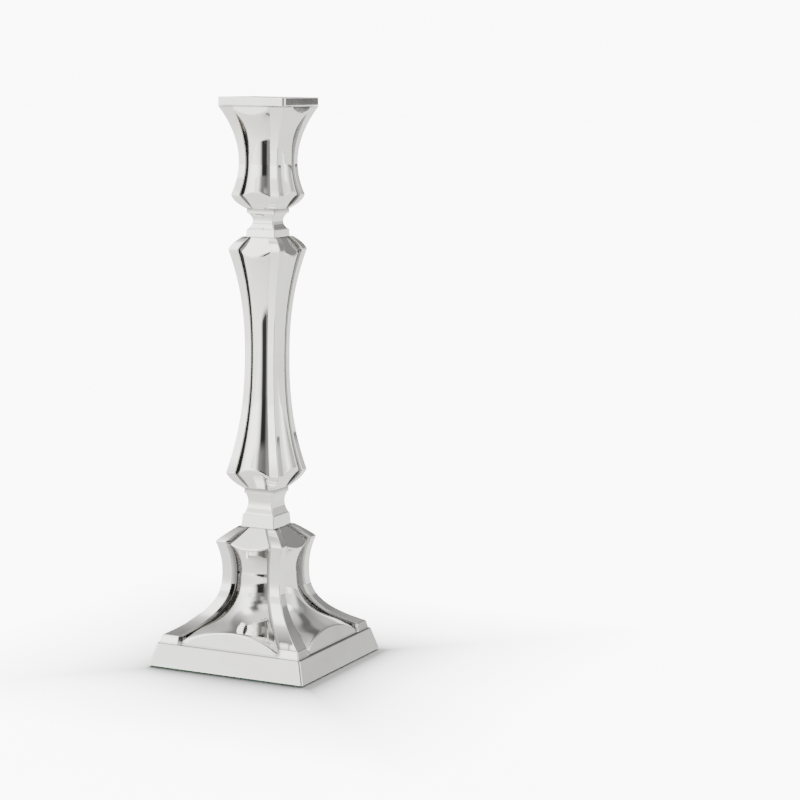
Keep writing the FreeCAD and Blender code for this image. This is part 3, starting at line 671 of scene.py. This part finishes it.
socket_rings = shell_rings(SOCKET_LOW, SOCKET_TOP, SOCKET_SPACING, (SOCKET_EDGE,),
                           socket_rib, socket_panel, socket_body, socket_limit)
for radius, z in eased([(SOCKET_SEAT[0] + SOCKET_LAND, SOCKET_TOP), (SOCKET_SEAT[0], SOCKET_TOP),
                        SOCKET_SEAT, (SOCKET_WELL[0], SOCKET_SEAT[1]), SOCKET_WELL,
                        (SOCKET_WELL[0] - SOCKET_LAND, SOCKET_WELL[1])], SOCKET_BORE_EASE)[1:]:
    socket_rings.append(round_ring(socket_rings[0], radius, z))
socket = skin("socket_vase", socket_rings)
socket.data.materials.append(silver)
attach(socket, "candlestick")
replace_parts(socket, "socket_shell")


# ---- Tie rod, nuts, washers, weight and closing plate --------------------------------------
# Steel rod, nuts, washers, sheet and screws, zinc plated, and a cast-iron weight. They hold
# the silvered shells together and are seen only when the nozzle is out or the felt is off.
STEEL = "9A9C9E"
STEEL_DULL = "7C7F84"
IRON = "2B2C2E"
IRON_RUST = "4A3A30"
METAL_PATCH_DETAIL = 4.0
METAL_GRAIN_DETAIL = 3.0
METAL_UNEVEN = 0.1
METAL_GRAIN_STRENGTH = 0.6


def metal_material(name, bright, joint_shade, patch, grain, depth, metallic, rough):
    """Plain metal with a patchy finish and a fine surface grain."""
    material = bpy.data.materials.new(name)
    material.use_nodes = True
    tree = material.node_tree
    tree.nodes.clear()
    place = add(tree, "TexCoord").outputs["Object"]
    cloud = add(tree, "TexNoise", inputs={"Scale": 1 / (patch * MM),
                                          "Detail": METAL_PATCH_DETAIL}, Vector=place)
    colour = add(tree, "Mix", {"data_type": "RGBA"}, Factor=cloud.outputs["Fac"])
    colour.inputs[6].default_value = linear(bright)
    colour.inputs[7].default_value = linear(joint_shade)
    gloss = add(tree, "MapRange", inputs={"To Min": rough - METAL_UNEVEN,
                                          "To Max": rough + METAL_UNEVEN},
                Value=cloud.outputs["Fac"])
    fine = add(tree, "TexNoise", inputs={"Scale": 1 / (grain * MM),
                                         "Detail": METAL_GRAIN_DETAIL}, Vector=place)
    relief = add(tree, "Bump", inputs={"Distance": depth * MM,
                                       "Strength": METAL_GRAIN_STRENGTH},
                 Height=fine.outputs["Fac"])
    shader = add(tree, "BsdfPrincipled", inputs={"Metallic": metallic},
                 Base_Color=colour.outputs[2], Roughness=gloss.outputs["Result"],
                 Normal=relief.outputs["Normal"])
    add(tree, "OutputMaterial", Surface=shader.outputs["BSDF"])
    return material


zinc = metal_material("mild steel, zinc plated", STEEL, STEEL_DULL, patch=3.0, grain=0.4,
                      depth=0.01, metallic=1.0, rough=0.35)
iron = metal_material("grey iron, sand cast", IRON, IRON_RUST, patch=12.0, grain=0.8,
                      depth=0.15, metallic=0.6, rough=0.7)
for node, finish in (("tie_rod", zinc), ("top_nut", zinc), ("top_washer", zinc),
                     ("bottom_nut", zinc), ("bottom_washer", zinc), ("closing_plate", zinc),
                     ("closing_screws", zinc), ("base_weight", iron)):
    for material_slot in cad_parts[node].material_slots:
        material_slot.material = finish


# ---- Nozzle ------------------------------------------------------------------------------
# Lift-out nozzle: a square plated rim with a shallow pan, and a thin turned cup soldered into
# its hole. It is lifted out by hand to clean off wax.
RIM_LOW = 295.65
RIM_TOP = 300.0
RIM_HALF = 19.6
RIM_CORNER = 1.5
RIM_EASE = 0.35
PAN_LOW = 299.0
PAN_HALF = 16.0
CUP_OUTER = 11.5
CUP_BORE = 11.0
CUP_LOW = 277.5
CUP_FLOOR = 278.3
CUP_LIP = 12.3
CUP_SEGMENTS = 128
CUP_EASE = 0.3
RIM_UNDER_RUN = 3.0
PAN_SLOPE = 1.0
PAN_RUN = 2.0
LIP_SLOPE = 0.1
MOUTH_BEVEL = 0.3

rim_side = eased([(RIM_HALF - RIM_UNDER_RUN, RIM_LOW), (RIM_HALF, RIM_LOW),
                  (RIM_HALF, RIM_TOP), (PAN_HALF + PAN_SLOPE, RIM_TOP), (PAN_HALF, PAN_LOW),
                  (PAN_HALF - PAN_RUN, PAN_LOW)], RIM_EASE)
rim_rings = [square_ring(half, z, RIM_CORNER) for half, z in rim_side]
rim_rings.insert(0, round_ring(rim_rings[0], CUP_OUTER, RIM_LOW))
rim_rings.append(round_ring(rim_rings[0], CUP_OUTER, PAN_LOW))
rim = skin("nozzle_rim", rim_rings, ends=False)
rim.data.materials.append(silver)
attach(rim, "nozzle")
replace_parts(rim, "nozzle_plate")

cup_side = eased([(0.0, CUP_LOW), (CUP_OUTER, CUP_LOW), (CUP_OUTER, PAN_LOW), (CUP_LIP, PAN_LOW),
                  (CUP_LIP, RIM_TOP - LIP_SLOPE), (CUP_BORE + MOUTH_BEVEL, RIM_TOP),
                  (CUP_BORE, RIM_TOP - MOUTH_BEVEL), (CUP_BORE, CUP_FLOOR), (0.0, CUP_FLOOR)],
                 CUP_EASE)
bm = bmesh.new()
turned = [bm.verts.new((radius * MM, 0.0, z * MM)) for radius, z in cup_side]
outline = [bm.edges.new(pair) for pair in zip(turned, turned[1:])]
bmesh.ops.spin(bm, geom=turned + outline, cent=(0, 0, 0), axis=(0, 0, 1), angle=2 * math.pi,
               steps=CUP_SEGMENTS, use_merge=True)
cup = finished("candle_cup_turned", bm)
cup.data.materials.append(silver)
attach(cup, "nozzle")
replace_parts(cup, "candle_cup")


# ---- Table, studio and camera --------------------------------------------------------------
# White board in a light tent that is bright on the left, has a bright strip on the right and
# is dark round the camera. A shadow is painted into the board round the foot, and where the
# silver mirrors it the board is painted a darker grey, with painted shade near the foot and
# to the right. It isn't mirrored beyond its front edge.
TABLE_HALF = 12.0
TABLE_FRONT = 0.6
TABLE_FRONT_SOFT = 0.05
BOARD_FAR = (0.1, 0.9)
BOARD_SIDES = (-0.2, 0.3)
# The board's greys as the silver sees it: a darker copy of the white board, with painted shade
# near the foot and on the right.
BOARD_IN_SILVER = "838281"
BOARD_NEAR_SILVER = "6C6C6C"
BOARD_RIGHT_SILVER = "686868"
SHADE_REACH = 0.12
SHADE_SHIFT = (0.004, 0.0, 0.0)
# The painted shadow's level on the board, from the foot's edge (0) to the shade's reach (1).
SHADE = [(0.0, 0.08), (0.025, 0.15), (0.07, 0.24), (0.13, 0.33), (0.38, 0.58), (1.0, 0.9)]
CAMERA_AZIMUTH = 28.0


def grey_ramp(tree, stops, value):
    """Grey that follows (position, level) stops."""
    ramp = add(tree, "ValToRGB", Fac=value)
    places = ramp.color_ramp.elements
    while len(places) > 1:
        places.remove(places[-1])
    for i, (position, level) in enumerate(stops):
        stop = places[0] if i == 0 else places.new(position)
        stop.position = position
        stop.color = (level, level, level, 1.0)
    return ramp.outputs["Color"]


bm = bmesh.new()
bmesh.ops.create_grid(bm, x_segments=1, y_segments=1, size=TABLE_HALF)
table_mesh = bpy.data.meshes.new("table_top")
bm.to_mesh(table_mesh)
bm.free()
table = bpy.data.objects.new("table_top", table_mesh)
bpy.context.scene.collection.objects.link(table)

toward = Vector((math.sin(math.radians(CAMERA_AZIMUTH)),
                 -math.cos(math.radians(CAMERA_AZIMUTH)), 0.0))
paper = bpy.data.materials.new("matt white board")
paper.use_nodes = True
tree = paper.node_tree
tree.nodes.clear()
place = add(tree, "TexCoord").outputs["Object"]
front = add(tree, "VectorMath", {"operation": "DOT_PRODUCT"})
tree.links.new(place, front.inputs[0])
front.inputs[1].default_value = toward
beyond = add(tree, "MapRange", inputs={"From Min": TABLE_FRONT - TABLE_FRONT_SOFT,
                                       "From Max": TABLE_FRONT + TABLE_FRONT_SOFT},
             Value=front.outputs["Value"])
ray = add(tree, "LightPath")
unseen = add(tree, "Math", {"operation": "MULTIPLY"})
tree.links.new(beyond.outputs["Result"], unseen.inputs[0])
tree.links.new(ray.outputs["Is Glossy Ray"], unseen.inputs[1])
# Painted shade in the silver's view of the board: darker grey near the foot and to the right.
reach = add(tree, "VectorMath", {"operation": "LENGTH"})
tree.links.new(place, reach.inputs[0])
far = add(tree, "MapRange", {"interpolation_type": "SMOOTHSTEP"},
          {"From Min": BOARD_FAR[0], "From Max": BOARD_FAR[1]}, Value=reach.outputs["Value"])
aside = add(tree, "VectorMath", {"operation": "DOT_PRODUCT"})
tree.links.new(place, aside.inputs[0])
aside.inputs[1].default_value = Vector((-toward.y, toward.x, 0.0))
to_right = add(tree, "MapRange", {"interpolation_type": "SMOOTHSTEP"},
               {"From Min": BOARD_SIDES[0], "From Max": BOARD_SIDES[1]},
               Value=aside.outputs["Value"])
sided = add(tree, "Mix", {"data_type": "RGBA"}, Factor=to_right.outputs["Result"])
sided.inputs[6].default_value = linear(BOARD_IN_SILVER)
sided.inputs[7].default_value = linear(BOARD_RIGHT_SILVER)
mirrored = add(tree, "Mix", {"data_type": "RGBA"}, Factor=far.outputs["Result"])
mirrored.inputs[6].default_value = linear(BOARD_NEAR_SILVER)
tree.links.new(sided.outputs[2], mirrored.inputs[7])
# Painted shadow: for the camera the board darkens towards the foot, a little more on its right.
away = add(tree, "VectorMath", {"operation": "SUBTRACT"}, Vector=place)
away.inputs[1].default_value = SHADE_SHIFT
spread = add(tree, "VectorMath", {"operation": "ABSOLUTE"})
tree.links.new(away.outputs["Vector"], spread.inputs[0])
spans = add(tree, "SeparateXYZ", Vector=spread.outputs["Vector"])
widest = add(tree, "Math", {"operation": "MAXIMUM"})
tree.links.new(spans.outputs["X"], widest.inputs[0])
tree.links.new(spans.outputs["Y"], widest.inputs[1])
gap = add(tree, "MapRange", inputs={"From Min": PLINTH_HALF * MM,
                                    "From Max": PLINTH_HALF * MM + SHADE_REACH},
          Value=widest.outputs["Value"])
shade = grey_ramp(tree, SHADE, gap.outputs["Result"])
whiteness = add(tree, "Mix", {"data_type": "RGBA"}, Factor=ray.outputs["Is Glossy Ray"])
tree.links.new(shade, whiteness.inputs[6])
tree.links.new(mirrored.outputs[2], whiteness.inputs[7])
board = add(tree, "BsdfDiffuse", Color=whiteness.outputs[2])
gone = add(tree, "BsdfTransparent")
blend = add(tree, "MixShader")
tree.links.new(unseen.outputs["Value"], blend.inputs[0])
tree.links.new(board.outputs["BSDF"], blend.inputs[1])
tree.links.new(gone.outputs["BSDF"], blend.inputs[2])
add(tree, "OutputMaterial", Surface=blend.outputs["Shader"])
table_mesh.materials.append(paper)

# The tent's brightness by direction, from the table's level up to the roof. Each ring holds
# (degrees from the camera towards its right, level), and takes over from the one below it
# between two heights of the direction.
TENT_FOOT = [(-180, 0.7), (-105, 0.7), (-90, 0.8), (-60, 0.75), (-45, 0.6), (-39, 0.37),
             (-33, 0.09), (-28, 0.012), (-9, 0.011), (-4, 0.09), (20, 0.08), (36, 0.4),
             (75, 0.5), (90, 1.0), (100, 0.5), (112, 0.12), (124, 0.04), (150, 0.05), (180, 0.7)]
TENT_RINGS = [
    (-0.01, 0.02, [(-180, 0.7), (-105, 0.66), (-88, 0.95), (-57, 0.95), (-45, 0.68), (-39, 0.5),
                   (-34, 0.22), (-30, 0.04), (-26, 0.008), (-11, 0.009), (-5, 0.045),
                   (0, 0.085), (20, 0.08), (40, 0.25), (60, 0.5), (78, 0.5), (90, 0.9),
                   (105, 0.5), (118, 0.22), (135, 0.19), (150, 0.36), (180, 0.7)]),
    (0.2, 0.27, [(-180, 0.3), (-150, 0.5), (-105, 0.63), (-88, 0.85), (-68, 0.9), (-60, 0.6),
                 (-53, 0.6), (-48, 0.8), (-44, 0.55),
                 (-38, 0.27), (-32, 0.09), (-20, 0.06), (-8, 0.045), (0, 0.09), (30, 0.15),
                 (60, 0.4), (90, 0.45), (108, 0.5), (122, 0.09), (140, 0.075), (155, 0.13),
                 (180, 0.3)]),
    (0.42, 0.52, [(-180, 0.1), (-165, 0.12), (-120, 0.38), (-100, 0.66), (-75, 0.95),
                  (-58, 0.9), (-46, 0.4), (-36, 0.12), (-24, 0.05), (-16, 0.16), (0, 0.09),
                  (40, 0.2), (75, 0.32), (95, 0.5), (108, 0.5), (122, 0.14), (138, 0.075),
                  (160, 0.12), (180, 0.1)]),
    (0.6, 0.67, [(-180, 0.11), (-150, 0.19), (-120, 0.41), (-92, 0.85), (-64, 0.95), (-52, 0.3),
                 (-42, 0.06), (-24, 0.035), (-16, 0.06), (-6, 0.2), (10, 0.12), (60, 0.3),
                 (85, 1.0), (95, 0.8), (106, 0.25), (120, 0.14), (132, 0.045), (155, 0.04),
                 (180, 0.11)]),
    (0.72, 0.8, [(-180, 0.08), (-160, 0.06), (-140, 0.1), (-120, 0.2), (-104, 0.35),
                 (-90, 0.85), (-72, 1.0), (-64, 0.3), (-56, 0.08), (-40, 0.04), (-33, 0.1),
                 (-26, 0.3), (-8, 0.5), (20, 0.4), (85, 1.0), (100, 0.35), (130, 0.25),
                 (150, 0.15), (180, 0.08)]),
    (0.86, 0.97, [(-180, 0.35), (180, 0.35)]),
]
TENT_STRENGTH = 4.0
BACKDROP_STRENGTH = 10.0
BOARD_LIGHT = 4.5
LAMP_STRENGTH = 30.0
LAMP_FROM = (-0.35, 0.75, 0.9)
LAMP_SPREAD = math.radians(60)

lamp_light = bpy.data.lights.new("overhead softbox", "SUN")
lamp_light.energy = LAMP_STRENGTH
lamp_light.angle = LAMP_SPREAD
lamp = bpy.data.objects.new("overhead softbox", lamp_light)
bpy.context.scene.collection.objects.link(lamp)
lamp.rotation_mode = "QUATERNION"
lamp.rotation_quaternion = Vector(LAMP_FROM).to_track_quat("Z", "Y")
lamp.visible_glossy = False

world = bpy.data.worlds.new("light tent")
bpy.context.scene.world = world
world.use_nodes = True
tree = world.node_tree
tree.nodes.clear()
sky = add(tree, "TexCoord").outputs["Generated"]
turned_sky = add(tree, "VectorRotate", {"rotation_type": "Z_AXIS"},
                 {"Angle": math.radians(90 - CAMERA_AZIMUTH)}, Vector=sky)
parts = add(tree, "SeparateXYZ", Vector=turned_sky.outputs["Vector"])
angle = add(tree, "Math", {"operation": "ARCTAN2"})
tree.links.new(parts.outputs["Y"], angle.inputs[0])
tree.links.new(parts.outputs["X"], angle.inputs[1])
turn = add(tree, "MapRange", inputs={"From Min": -math.pi, "From Max": math.pi},
           Value=angle.outputs["Value"])


def tent_ring(levels_round):
    """Grey levels round the tent, by direction."""
    return grey_ramp(tree, [(degrees / 360 + 0.5, level) for degrees, level in levels_round],
                     turn.outputs["Result"])


tent = tent_ring(TENT_FOOT)
for low, high, levels_round in TENT_RINGS:
    rise = add(tree, "MapRange", {"interpolation_type": "SMOOTHSTEP"},
               {"From Min": low, "From Max": high}, Value=parts.outputs["Z"])
    mixed = add(tree, "Mix", {"data_type": "RGBA"}, Factor=rise.outputs["Result"])
    tree.links.new(tent, mixed.inputs[6])
    tree.links.new(tent_ring(levels_round), mixed.inputs[7])
    tent = mixed.outputs[2]

ray = add(tree, "LightPath")
tent_glow = add(tree, "Background", inputs={"Strength": TENT_STRENGTH}, Color=tent)
board_glow = add(tree, "Background", inputs={"Color": (1, 1, 1, 1), "Strength": BOARD_LIGHT})
back_glow = add(tree, "Background", inputs={"Color": (1, 1, 1, 1),
                                            "Strength": BACKDROP_STRENGTH})
lit = add(tree, "MixShader")
tree.links.new(ray.outputs["Is Diffuse Ray"], lit.inputs[0])
tree.links.new(tent_glow.outputs["Background"], lit.inputs[1])
tree.links.new(board_glow.outputs["Background"], lit.inputs[2])
seen = add(tree, "MixShader")
tree.links.new(ray.outputs["Is Camera Ray"], seen.inputs[0])
tree.links.new(lit.outputs["Shader"], seen.inputs[1])
tree.links.new(back_glow.outputs["Background"], seen.inputs[2])
add(tree, "OutputWorld", Surface=seen.outputs["Shader"])

CAMERA_LENS = 105.4
CAMERA_PLACE = (0.5834, -1.0857, 0.3175)
CAMERA_AHEAD = (-0.4221, 0.9065)
CAMERA_PITCH = math.radians(8.144)
CAMERA_ROLL = math.radians(0.789)
lens = bpy.data.cameras.new("camera")
lens.lens = CAMERA_LENS
camera = bpy.data.objects.new("camera", lens)
bpy.context.scene.collection.objects.link(camera)
bpy.context.scene.camera = camera
ahead = Vector((CAMERA_AHEAD[0] * math.cos(CAMERA_PITCH),
                CAMERA_AHEAD[1] * math.cos(CAMERA_PITCH), -math.sin(CAMERA_PITCH)))
right = Vector((CAMERA_AHEAD[1], -CAMERA_AHEAD[0], 0.0))
upward = right.cross(ahead)
rolled_right = right * math.cos(CAMERA_ROLL) + upward * math.sin(CAMERA_ROLL)
rolled_up = upward * math.cos(CAMERA_ROLL) - right * math.sin(CAMERA_ROLL)
turn_matrix = Matrix((rolled_right, rolled_up, -ahead)).transposed().to_4x4()
camera.matrix_world = Matrix.Translation(CAMERA_PLACE) @ turn_matrix
